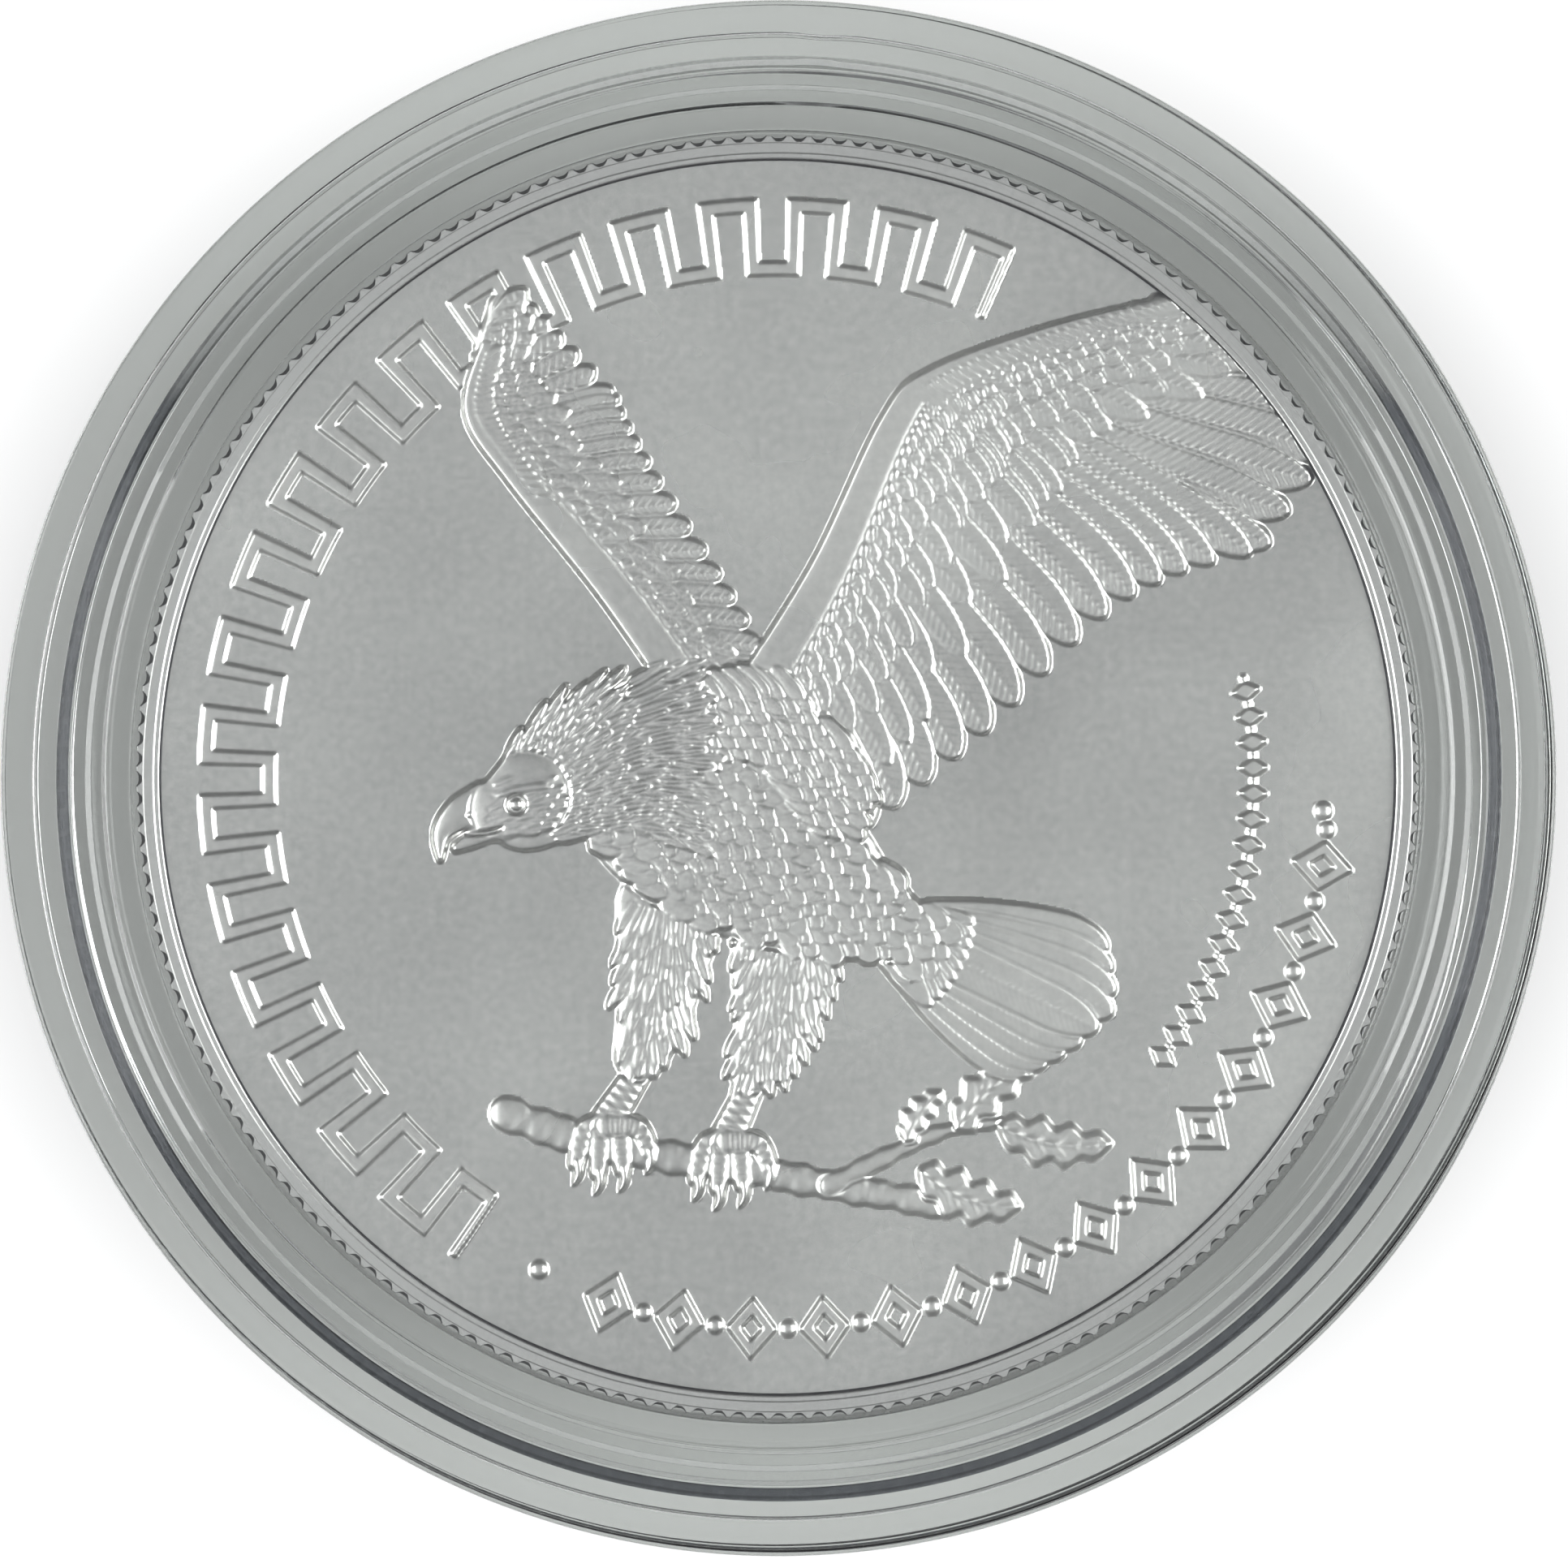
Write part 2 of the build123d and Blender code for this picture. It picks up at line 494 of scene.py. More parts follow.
def plumage(canvas, area, spacing, length, width, flow, owner, crown, rise, jitter, barbs):
    """Short overlapping feathers in staggered rows over an area, the tailmost laid first.

    The area is two corners and a test of whether a place lies inside. Flow gives the heading of the
    feathers at a place, and crown the height that they grow from.
    """
    low, high, inside = area
    places = []
    y_count = int((high[1] - low[1]) / spacing)
    x_count = int((high[0] - low[0]) / spacing)
    for j in range(y_count):
        for i in range(x_count):
            place = point(low[0] + (i + 0.5 * (j % 2)) * spacing, low[1] + j * spacing * 0.8)
            place = place + spacing * jitter * (rng.random(2) - 0.5)
            if inside(place):
                places.append(place)
    places.sort(key=lambda p: -float(np.dot(p, heading(flow(p)))))
    for place in places:
        angle = flow(place) + 10 * (rng.random() - 0.5)
        size = 0.85 + 0.3 * rng.random()
        under = crown(place)
        root = place - heading(angle) * length * 0.5
        tip = place + heading(angle) * length * 0.5 * size
        blade(canvas, root, tip, width * size, base=(under - 0.02, under + 0.015), rise=rise, tipness=0.5,
              rootness=0.25, bevel=0.1, shaft=0.012, barbs=barbs, barb_pitch=0.16, tilt=0.01, owner=owner)


def bead(canvas, centre, radius, height=0.13, owner=BORDER):
    """A small round dome."""
    part = canvas.around([centre], radius + 0.2)
    off = np.hypot(canvas.x[part] - centre[0], canvas.y[part] - centre[1])
    inside = radius - off
    canvas.lay(part, inside, height * np.sqrt(np.clip(1 - (off / radius) ** 2, 0.0, 1)), owner)


KEY_STROKE = 0.5
KEY_HEIGHT = 0.085
KEY_BEVEL = 0.08
LOZENGE_STROKE = 0.36
LOZENGE_HEIGHT = 0.12
LOZENGE_BEVEL = 0.09


def lozenge(canvas, angle, inner, outer, half_width):
    """The outline of a lozenge as a raised stroke, its long axis along the radius."""
    centre = polar((inner + outer) / 2, angle)
    half = (outer - inner) / 2
    part = canvas.around([centre], half + 0.3)
    dx = canvas.x[part] - centre[0]
    dy = canvas.y[part] - centre[1]
    r = dx * math.cos(math.radians(angle)) + dy * math.sin(math.radians(angle))
    s = -dx * math.sin(math.radians(angle)) + dy * math.cos(math.radians(angle))
    slope = half_width / math.hypot(half, half_width)
    inside = (1 - np.abs(r) / half - np.abs(s) / half_width) * half * slope
    stroke = smooth(inside / LOZENGE_BEVEL) - smooth((inside - LOZENGE_STROKE) / LOZENGE_BEVEL)
    canvas.lay(part, inside, LOZENGE_HEIGHT * stroke, BORDER)


def key_band(canvas, start, end, inner, outer):
    """A running meander along an arc: one flat-topped line that turns in and out."""
    path = ((0, 0), (0, 3), (2, 3), (2, 0), (4, 0))
    unit = (outer - inner - KEY_STROKE) / 3
    middle = (inner + outer) / 2
    count = round(math.radians(end - start) * middle / (4 * unit))
    radius = np.hypot(canvas.x, canvas.y)
    turn = (np.degrees(np.arctan2(canvas.y, canvas.x)) - start) % 360
    run = turn / (end - start) * count * 4
    along = run % 4
    out = (radius - inner - KEY_STROKE / 2) / unit
    off = np.full(canvas.x.shape, 9.0)
    for (u0, v0), (u1, v1) in zip(path, path[1:]):
        for shift in (-4, 0, 4):
            beside = np.maximum(min(u0, u1) + shift - along, along - max(u0, u1) - shift)
            above = np.maximum(min(v0, v1) - out, out - max(v0, v1))
            off = np.minimum(off, np.maximum(beside, above))
    inside = KEY_STROKE / 2 - off * unit
    inside[(run < 0) | (run > count * 4)] = -1
    whole = np.s_[:, :]
    canvas.lay(whole, inside, KEY_HEIGHT * smooth(inside / KEY_BEVEL), BORDER)


def border(canvas):
    """A meander on the left and top, and lozenges with beads between them at the bottom and right."""
    key_band(canvas, 66, 236, 15.85, 18.35)
    for angle in np.arange(252, 352, 7.6):
        lozenge(canvas, angle, 16.4, 18.5, 0.85)
        bead(canvas, polar(17.45, angle + 3.8), 0.28, 0.12)
    for angle in np.arange(-36, 12, 3.1):
        lozenge(canvas, angle, 14.5, 15.6, 0.36)
        bead(canvas, polar(15.05, angle + 1.55), 0.14, 0.08)
    for angle in (244.0, 356.5):
        bead(canvas, polar(17.3, angle), 0.3)


def leg(canvas, hip, knee, ankle, foot, wide):
    """A scaled shank under a thigh of long shaggy feathers that splay towards the sides."""
    owner = BIRD_BODY
    limb(canvas, [ankle + point(0.15, 0.8), ankle, foot], [0.5, 0.44, 0.55], 0.13, owner, base=0.05,
         stripes=0.014, pitch=0.3)
    thigh = line_points(hip, mix(hip, knee, 0.5), knee, ankle + point(0.1, 0.6), count=20)
    radii = np.linspace(wide, 0.8, 20)
    limb(canvas, thigh, radii, 0.10, owner, base=0.05, roundness=0.9)

    def inside(place):
        off, k = nearest(thigh, place)
        return off < radii[k] * 0.98 and place[1] > ankle[1] + 0.2

    def flow(place):
        k = nearest(thigh, place)[1]
        return -97.0 + 26.0 * (place[0] - thigh[k][0]) / radii[k]

    def crown(place):
        off, k = nearest(thigh, place)
        return 0.07 + 0.07 * math.sqrt(max(0.0, 1 - (off / radii[k]) ** 2))

    area = (thigh.min(0) - wide, thigh.max(0) + wide, inside)
    plumage(canvas, area, 0.42, 1.25, 0.36, flow, owner, crown, rise=0.026, jitter=0.7, barbs=0.0)


def legs(canvas):
    leg(canvas, point(0.4, -4.6), point(-0.2, -8.0), point(-0.9, -9.8), point(-1.6, -11.3), 1.95)
    leg(canvas, point(-3.4, -4.2), point(-4.0, -7.6), point(-4.5, -9.4), point(-5.4, -10.8), 1.75)


def toes(canvas, foot):
    """Four scaled toes with curved claws round the branch."""
    owner = BIRD_BODY
    for side, reach in ((-0.95, 1.15), (-0.3, 1.45), (0.45, 1.35), (1.25, 0.8)):
        knuckle = foot + point(side * 0.75, -0.25 + 0.15 * abs(side))
        end = foot + point(side * 1.05, -reach)
        toe = line_points(foot, knuckle, end, count=12)
        limb(canvas, toe, np.linspace(0.4, 0.27, 12), 0.08, owner, base=0.13, stripes=0.012, pitch=0.3)
        blade(canvas, end + point(0, 0.1), end + point(-0.12, -0.75), 0.34, base=(0.2, 0.08), rise=0.05,
              bend=0.12, tipness=0.9, rootness=0.2, bevel=0.14, shaft=0.02, owner=owner)


def branch(canvas):
    """A stem and a twig with four lobed leaves."""
    owner = BRANCH
    stem = line_points((-8.6, -10.6), (-6.6, -11.3), (-4.0, -11.9), (-1.0, -12.4), (2.2, -13.0), (5.0, -13.5),
                       count=50)
    limb(canvas, stem, np.linspace(0.55, 0.42, 50), 0.12, owner, base=0.03, wobble=0.07, stripes=0.006,
         pitch=0.5)
    twig = line_points((1.6, -12.9), (3.4, -12.0), (5.2, -11.2), (7.0, -10.9), count=30)
    limb(canvas, twig, np.linspace(0.34, 0.16, 30), 0.10, owner, base=0.03, wobble=0.04)
    leaves = (
        (point(5.6, -11.2), point(8.2, -8.9), 1.7, 0.3),
        (point(6.9, -11.0), point(10.6, -11.6), 1.7, -0.3),
        (point(4.4, -12.4), point(7.7, -13.6), 1.8, -0.35),
        (point(4.0, -11.6), point(5.2, -9.9), 1.1, 0.2),
    )
    for root, tip, width, bend in leaves:
        blade(canvas, root, tip, width, base=(0.05, 0.03), rise=0.09, bend=bend, tipness=0.75, rootness=0.45,
              bevel=0.25, shaft=0.035, barbs=0.012, barb_pitch=0.62, owner=owner, lobes=4, lobe_depth=0.32)


def neck(canvas):
    """Hackles: thin pointed feathers in rows, the ones nearest the head on top."""
    line = line_points((-3.6, 0.7), (-5.4, 0.6), (-7.0, -0.2), (-8.0, -0.9), count=20)
    girth = np.linspace(2.5, 1.4, 20)
    limb(canvas, line[5:], girth[5:], 0.10, BIRD_BODY, base=0.12, roundness=0.9)
    for row in range(13):
        share = row / 12
        k = int(share * 18)
        back = line[k] - line[k + 1]
        turned = math.degrees(math.atan2(back[1], back[0]))
        across = heading(turned + 90)
        for i in range(15):
            side = mix(-1, 1, (i + 0.5 * (row % 2)) / 14.5) + 0.04 * rng.random()
            root = line[k] + across * side * girth[k] * 0.97
            angle = turned + 26 * side + 8 * (rng.random() - 0.5)
            length = mix(1.7, 1.15, share) * (0.85 + 0.3 * rng.random())
            crown = 0.13 + 0.07 * math.sqrt(max(0.0, 1 - side * side)) + 0.01
            blade(canvas, root, root + length * heading(angle), 0.38, base=(crown, crown), rise=0.055,
                  tipness=0.8, rootness=0.3, bevel=0.1, shaft=0.012, owner=BIRD_BODY)


def beak(canvas):
    """The lower half, then the hooked upper half."""
    lower = line_points((-9.1, -1.6), (-9.75, -1.95), (-10.2, -2.2), count=10)
    upper = line_points((-9.3, -0.85), (-10.1, -1.15), (-10.65, -1.75), (-10.7, -2.55), count=24)
    limb(canvas, lower, np.linspace(0.42, 0.16, 10), 0.1, BIRD_BODY, base=0.1)
    limb(canvas, upper, np.linspace(0.78, 0.10, 24), 0.13, BIRD_BODY, base=0.12)


def head(canvas):
    """The skull with its small feathers, the line of the mouth, the brow, the eye and the nostril."""
    owner = BIRD_BODY
    limb(canvas, [(-8.0, -0.55), (-8.75, -0.95)], [1.42, 1.05], 0.12, owner, base=0.15)
    skull = point(-8.1, -0.65)

    def inside(place):
        return math.hypot(*(place - skull)) < 1.15 and place[0] > -9.0

    def crown(place):
        return 0.15 + 0.12 * math.sqrt(max(0.0, 1 - (math.hypot(*(place - skull)) / 1.42) ** 2))

    def flow(place):
        return 22.0 + 12 * (place[1] + 0.7)

    area = (skull - 1.4, skull + 1.4, inside)
    plumage(canvas, area, 0.34, 0.75, 0.24, flow, owner, crown, rise=0.022, jitter=0.5, barbs=0.0)
    blade(canvas, point(-8.7, -1.55), point(-10.0, -1.75), 0.14, base=(0.16, 0.15), rise=-0.04, bend=0.08,
          bevel=0.05, shaft=0, owner=owner)
    blade(canvas, point(-7.2, -0.25), point(-9.0, -0.60), 0.40, base=(0.26, 0.25), rise=0.05, bend=-0.10,
          tipness=0.5, bevel=0.14, shaft=0.0, owner=owner)
    eye = point(-8.3, -0.82)
    part = canvas.around([eye], 0.5)
    off = np.hypot(canvas.x[part] - eye[0], canvas.y[part] - eye[1])
    ball = 0.11 * np.sqrt(np.clip(1 - (off / 0.22) ** 2, 0, 1))
    canvas.lay(part, 0.34 - off, 0.26 - 0.11 * smooth((0.34 - off) / 0.08) + ball, owner)
    nostril = point(-9.75, -1.15)
    part = canvas.around([nostril], 0.3)
    off = np.hypot(canvas.x[part] - nostril[0], (canvas.y[part] - nostril[1]) * 1.6)
    canvas.lay(part, 0.12 - off, 0.2 - 0.05 * smooth((0.12 - off) / 0.06), owner)


def design(cell):
    """The coin's upper face: a bird of prey alighting on a branch, inside an ornamental border."""
    canvas = Canvas(FIELD_RADIUS, cell)
    border(canvas)
    branch(canvas)
    far_wing(canvas)
    tail(canvas)
    legs(canvas)
    body(canvas)
    near_wing(canvas)
    shoulder(canvas)
    neck(canvas)
    beak(canvas)
    head(canvas)
    toes(canvas, point(-1.6, -11.5))
    toes(canvas, point(-5.4, -11.0))
    canvas.trim(FIELD_RADIUS - 0.04)
    canvas.soften(1)
    return canvas


def underside(cell):
    """The coin's lower face: a rosette in a wreath, and a ring of beads."""
    canvas = Canvas(FIELD_RADIUS, cell)
    for angle in np.arange(0, 360, 5):
        bead(canvas, polar(18.3, angle), 0.32, 0.12, UNDERSIDE)
    for angle in np.arange(0, 360, 9):
        for side in (-1, 1):
            root = polar(14.3 + 0.5 * side, angle)
            tip = polar(14.3 + 1.9 * side, angle + 10)
            blade(canvas, root, tip, 1.25, base=(0.02, 0.0), rise=0.13, bend=0.2 * side, tipness=0.7,
                  rootness=0.5, bevel=0.25, shaft=0.03, owner=UNDERSIDE)
    petals = (
        (16, 0.0, 10.2, 3.4, 0.0),
        (16, 0.5, 7.6, 2.5, 0.06),
        (8, 0.0, 5.0, 2.6, 0.11),
    )
    for count, turned, reach, width, base in petals:
        for i in range(count):
            angle = (i + turned) * 360 / count
            blade(canvas, polar(1.2, angle), polar(reach, angle), width, base=(base + 0.03, base),
                  rise=0.10, tipness=0.55, rootness=0.6, bevel=0.4, shaft=0.03, owner=UNDERSIDE)
    bead(canvas, point(0, 0), 1.6, 0.26, UNDERSIDE)
    return canvas


# ---------------------------------------------------------------- materials
def new_material(name):
    material = bpy.data.materials.new(name)
    material.use_nodes = True
    nodes = material.node_tree.nodes
    return material, nodes, material.node_tree.links, nodes["Principled BSDF"]


def noise(nodes, links, scale, detail=2.0, roughness=0.5):
    """A noise texture in the row frame; scale is in cycles per millimetre."""
    place = nodes.new("ShaderNodeTexCoord")
    mapping = nodes.new("ShaderNodeMapping")
    mapping.inputs["Scale"].default_value = Vector((1, 1, 1)) * scale / MM
    texture = nodes.new("ShaderNodeTexNoise")
    texture.inputs["Scale"].default_value = 1.0
    texture.inputs["Detail"].default_value = detail
    texture.inputs["Roughness"].default_value = roughness
    links.new(place.outputs["Object"], mapping.inputs["Vector"])
    links.new(mapping.outputs["Vector"], texture.inputs["Vector"])
    return texture.outputs["Fac"]


def ranged(nodes, links, value, low, high, to_low, to_high):
    """Maps a value from one range to another."""
    node = nodes.new("ShaderNodeMapRange")
    node.inputs["From Min"].default_value = low
    node.inputs["From Max"].default_value = high
    node.inputs["To Min"].default_value = to_low
    node.inputs["To Max"].default_value = to_high
    links.new(value, node.inputs["Value"])
    return node.outputs["Result"]


def bump(nodes, links, value, depth, strength):
    """A bump whose height is in millimetres."""
    node = nodes.new("ShaderNodeBump")
    node.inputs["Strength"].default_value = strength
    node.inputs["Distance"].default_value = depth * MM
    links.new(value, node.inputs["Height"])
    return node.outputs["Normal"]


def silver_material(name, dull, bright, roughness, grain_depth):
    """Satin struck silver: faint clouds in the tone and roughness, and a fine blasted grain."""
    material, nodes, links, shader = new_material(name)
    shader.inputs["Metallic"].default_value = 1.0
    clouds = noise(nodes, links, 0.09, 3.0, 0.55)
    grain = noise(nodes, links, 9.0, 2.0, 0.6)
    speckle = noise(nodes, links, 3.5, 3.0, 0.6)
    tone = nodes.new("ShaderNodeMix")
    tone.data_type = "RGBA"
    tone.inputs["A"].default_value = (*dull, 1)
    tone.inputs["B"].default_value = (*bright, 1)
    links.new(ranged(nodes, links, speckle, 0.3, 0.7, 0, 1), tone.inputs["Factor"])
    links.new(tone.outputs["Result"], shader.inputs["Base Color"])
    gloss = ranged(nodes, links, clouds, 0.15, 0.85, roughness - 0.03, roughness + 0.09)
    links.new(gloss, shader.inputs["Roughness"])
    links.new(bump(nodes, links, grain, grain_depth, 0.35), shader.inputs["Normal"])
    return material


def rim_material():
    """The coin's rim: silver with fine scratches across it, which change its gloss."""
    material, nodes, links, shader = new_material("rim_silver")
    shader.inputs["Metallic"].default_value = 1.0
    shader.inputs["Base Color"].default_value = (0.80, 0.80, 0.79, 1)
    place = nodes.new("ShaderNodeTexCoord")
    split = nodes.new("ShaderNodeSeparateXYZ")
    links.new(place.outputs["Object"], split.inputs[0])
    angle = nodes.new("ShaderNodeMath")
    angle.operation = "ARCTAN2"
    links.new(split.outputs["Y"], angle.inputs[0])
    links.new(split.outputs["X"], angle.inputs[1])
    spread = nodes.new("ShaderNodeCombineXYZ")
    links.new(angle.outputs[0], spread.inputs["X"])
    mapping = nodes.new("ShaderNodeMapping")
    mapping.inputs["Scale"].default_value = (COIN_RADIUS * 9, 1, 1)
    links.new(spread.outputs[0], mapping.inputs["Vector"])
    scratches = nodes.new("ShaderNodeTexNoise")
    scratches.inputs["Scale"].default_value = 1.0
    scratches.inputs["Detail"].default_value = 4.0
    links.new(mapping.outputs["Vector"], scratches.inputs["Vector"])
    grain = noise(nodes, links, 7.0, 2.0, 0.6)
    gloss = ranged(nodes, links, scratches.outputs["Fac"], 0.3, 0.7, 0.22, 0.27)
    links.new(gloss, shader.inputs["Roughness"])
    links.new(bump(nodes, links, grain, 0.006, 0.4), shader.inputs["Normal"])
    return material


def shade_material():
    """Painted shade in the flutes of the coin's edge: near-black dull metal, so the flutes read as shadowed
    notches.
    """
    material, nodes, links, shader = new_material("flute_shade")
    shader.inputs["Metallic"].default_value = 1.0
    shader.inputs["Roughness"].default_value = 0.55
    tone = nodes.new("ShaderNodeMix")
    tone.data_type = "RGBA"
    tone.inputs["A"].default_value = (0.015, 0.015, 0.018, 1)
    tone.inputs["B"].default_value = (0.05, 0.05, 0.055, 1)
    links.new(noise(nodes, links, 3.0), tone.inputs["Factor"])
    links.new(tone.outputs["Result"], shader.inputs["Base Color"])
    return material


def painted_shade_wall_material(dark, light):
    """The steep wall of a ring: plastic darkened as painted shade, which fades to a lighter tint towards +Y,
    the side of the gate mark.
    """
    material = clear_material("ring_wall_painted_shade", dark)
    nodes, links = material.node_tree.nodes, material.node_tree.links
    place = nodes.new("ShaderNodeTexCoord")
    split = nodes.new("ShaderNodeSeparateXYZ")
    links.new(place.outputs["Object"], split.inputs[0])
    reach = RING_INNER * MM
    share = ranged(nodes, links, split.outputs["Y"], 0.52 * reach, 0.80 * reach, 0, 1)
    tone = nodes.new("ShaderNodeMix")
    tone.data_type = "RGBA"
    tone.inputs["A"].default_value = (*dark, 1)
    tone.inputs["B"].default_value = (*light, 1)
    links.new(share, tone.inputs["Factor"])
    links.new(tone.outputs["Result"], nodes["Principled BSDF"].inputs["Base Color"])
    return material


def clear_material(name, tint):
    """Clear moulded plastic with a slight grey-green tint, which lets lamp light through."""
    material, nodes, links, shader = new_material(name)
    shader.inputs["Base Color"].default_value = (*tint, 1)
    shader.inputs["Roughness"].default_value = 0.03
    shader.inputs["IOR"].default_value = 1.49
    shader.inputs["Transmission Weight"].default_value = 1.0
    see_through = nodes.new("ShaderNodeBsdfTransparent")
    see_through.inputs["Color"].default_value = (0.972, 0.975, 0.972, 1)
    path = nodes.new("ShaderNodeLightPath")
    either = nodes.new("ShaderNodeMixShader")
    links.new(path.outputs["Is Shadow Ray"], either.inputs["Fac"])
    links.new(shader.outputs["BSDF"], either.inputs[1])
    links.new(see_through.outputs["BSDF"], either.inputs[2])
    links.new(either.outputs["Shader"], nodes["Material Output"].inputs["Surface"])
    return material


# ---------------------------------------------------------------- shells
def outer_side(face, up):
    """One shell's outer side from the axis to the rim's corner; up is 1 for the base and -1 for the lid."""
    foot = face + up * RING_HEIGHT
    tool_marks = [(STEPS[0] + 0.30 + 0.05 * k, foot + up * TOOL_MARK * (k % 2), 0) for k in range(4)]
    steps = []
    for number, radius in enumerate(STEPS):
        floor = foot + up * number * STEP_DEPTH
        steps.insert(0, (radius, floor, STEP_BEND))
        steps.insert(0, (radius - STEP_WIDTH, floor + up * STEP_DEPTH, STEP_BEND))
    return [
        (0, steps[0][1], 0),
        *steps,
        *tool_marks,
        (RING_FOOT, foot, EDGE),
        (RING_INNER, face, EDGE),
        (RING_INNER + GATE_REACH, face, 0),
        (CAPSULE_RADIUS, face, RIM_BEND),
    ]


def gate_mark(item, face, up):
    """Dents the inner edge of a ring where the plastic was let into the mould."""
    half_turn = math.degrees(GATE_WIDTH / 2 / RING_INNER) + 0.01
    for vertex in item.data.vertices:
        x, y, z = vertex.co / MM
        near = abs(math.degrees(math.atan2(y, x)) - GATE_ANGLE) < half_turn
        if near and abs(z - face) < GATE_DEPTH and math.hypot(x, y) < RING_INNER + GATE_REACH / 2:
            vertex.co.z += up * GATE_DEPTH * MM


def shade_ring(item, face, up, wall, band):
    """Gives one outer side's steep ring wall, and the stepped band inside it, their own materials: darkened
    plastic as painted shade on both.
    """
    item.data.materials.append(wall)
    item.data.materials.append(band)
    for polygon in item.data.polygons:
        x, y, z = polygon.center / MM
        radius = math.hypot(x, y)
        sunk = up * (z - face)
        if RING_FOOT < radius < RING_INNER and 0 < sunk < RING_HEIGHT:
            polygon.material_index = 1
        elif STEPS[-1] - STEP_WIDTH < radius <= RING_FOOT and 0 < sunk < RING_HEIGHT + 3 * STEP_DEPTH:
            polygon.material_index = 2


def make_base(material, wall, band):
    """The lower shell, with the well inside the tongue."""
    outline = rounded(outer_side(0, 1) + [
        (CAPSULE_RADIUS, PARTING - RIM_CHAMFER, EDGE),
        (CAPSULE_RADIUS - RIM_CHAMFER, PARTING, EDGE),
        (TONGUE_OUTER, PARTING, EDGE),
        (TONGUE_OUTER, TONGUE_TOP - LEAD_IN, EDGE),
        (TONGUE_OUTER - LEAD_IN, TONGUE_TOP, EDGE),
        (TONGUE_INNER, TONGUE_TOP, EDGE),
        (TONGUE_INNER, WINDOW_TOP, EDGE),
        (WELL_RADIUS + WELL_WALL, WINDOW_TOP, EDGE),
        (WELL_RADIUS + WELL_WALL, WELL_TOP, WELL_BEND),
        (WELL_RADIUS, WELL_TOP, WELL_BEND),
        (WELL_RADIUS, WINDOW_TOP, EDGE),
        (0, WINDOW_TOP, 0),
    ])
    shell = lathe("base_clear", outline, SHELL_SEGMENTS, "base", material)
    shade_ring(shell, 0, 1, wall, band)
    gate_mark(shell, 0, 1)
    return shell


def make_lid(material, wall, band):
    """The upper shell, with the rebate that fits over the tongue."""
    under = [
        (0, LID_UNDER, 0),
        (REBATE, LID_UNDER, EDGE),
        (REBATE, LID_RIM + LEAD_IN, EDGE),
        (REBATE + LEAD_IN, LID_RIM, EDGE),
        (CAPSULE_RADIUS - RIM_CHAMFER, LID_RIM, EDGE),
        (CAPSULE_RADIUS, LID_RIM + RIM_CHAMFER, EDGE),
    ]
    outline = rounded(under + outer_side(CAPSULE_HEIGHT, -1)[::-1])
    shell = lathe("lid_clear", outline, SHELL_SEGMENTS, "lid", material)
    shade_ring(shell, CAPSULE_HEIGHT, -1, wall, band)
    gate_mark(shell, CAPSULE_HEIGHT, -1)
    return shell


# ---------------------------------------------------------------- coin
def coin_rings():
    """Radius, height and depth of the flutes of each ring of the coin, from its lower field to its upper."""
    edge = COIN_RADIUS
    # from the field to the side, with the height measured from the face
    half = [
        (FIELD_RADIUS - 0.14, -FIELD_DEPTH, 0),
        (FIELD_RADIUS - 0.10, -FIELD_DEPTH + 0.02, 0),
        (FIELD_RADIUS - 0.07, -0.055, 0),
        (FIELD_RADIUS - 0.035, -0.04, 0),
        (FIELD_RADIUS + 0.08, -0.04, 0),
        (FIELD_RADIUS + 0.105, -0.052, 0),
        (FIELD_RADIUS + 0.13, -0.04, 0),
        (edge - 0.25, -0.04, 0),
        (edge - 0.22, -0.02, 0),
        (edge - 0.06, -0.02, FLUTE_AT_FACE),
        (edge - 0.02, -0.06, FLUTE_AT_FACE),
        (edge, -0.12, FLUTE_AT_FACE),
        (edge, -0.50, REED_DEPTH),
    ]
    lower = [(r, COIN_BOTTOM - z, depth) for r, z, depth in half]
    upper = [(r, COIN_TOP + z, depth) for r, z, depth in half[::-1]]
    return lower + upper


def drum_faces(rings, segments):
    """The quads between neighbouring rings, with one face over each end."""
    faces = [tuple(range(segments))[::-1]]
    for ring in range(rings - 1):
        low = ring * segments
        for k in range(segments):
            n = (k + 1) % segments
            faces.append((low + k, low + n, low + segments + n, low + segments + k))
    top = (rings - 1) * segments
    faces.append(tuple(range(top, top + segments)))
    return faces


def make_coin_body(material, rim, shade):
    """The reeded disc: sunk fields, a raised rim with a fine groove, and flutes round the edge."""
    rings = coin_rings()
    segments = REEDS * POINTS_PER_REED
    angle = np.arange(segments) * 2 * math.pi / segments
    flute = np.clip(np.cos(angle * REEDS) + FLUTE_SHARE, 0, 1) ** 0.6
    vertices = []
    for r, z, depth in rings:
        radius = np.minimum(r, COIN_RADIUS - depth * flute)
        vertices += list(zip(radius * np.cos(angle), radius * np.sin(angle), np.full(segments, z)))
    faces = drum_faces(len(rings), segments)
    item = add_object("coin_body", vertices, faces, "coin", material)
    item.data.shade_smooth()
    item.data.set_sharp_from_angle(angle=math.radians(20))
    item.data.materials.append(rim)
    item.data.materials.append(shade)
    # flute faces near either face get the near-black painted shade material; the other side faces get the rim
    # silver
    for polygon in item.data.polygons[1:len(faces) - 1]:
        x, y, z = polygon.center / MM
        sunk = min(z - COIN_BOTTOM, COIN_TOP - z)
        in_flute = math.hypot(x, y) < COIN_RADIUS - REED_DEPTH / 2
        shaded = in_flute and FLUTE_SHADE[0] < sunk < FLUTE_SHADE[1]
        polygon.material_index = 2 if shaded else 1
    item.modifiers.new("even_normals", "WEIGHTED_NORMAL").keep_sharp = True
    return item


def cell_corners(grid):
    """The values at the four corners of every cell of a grid."""
    return [grid[:-1, :-1], grid[1:, :-1], grid[1:, 1:], grid[:-1, 1:]]


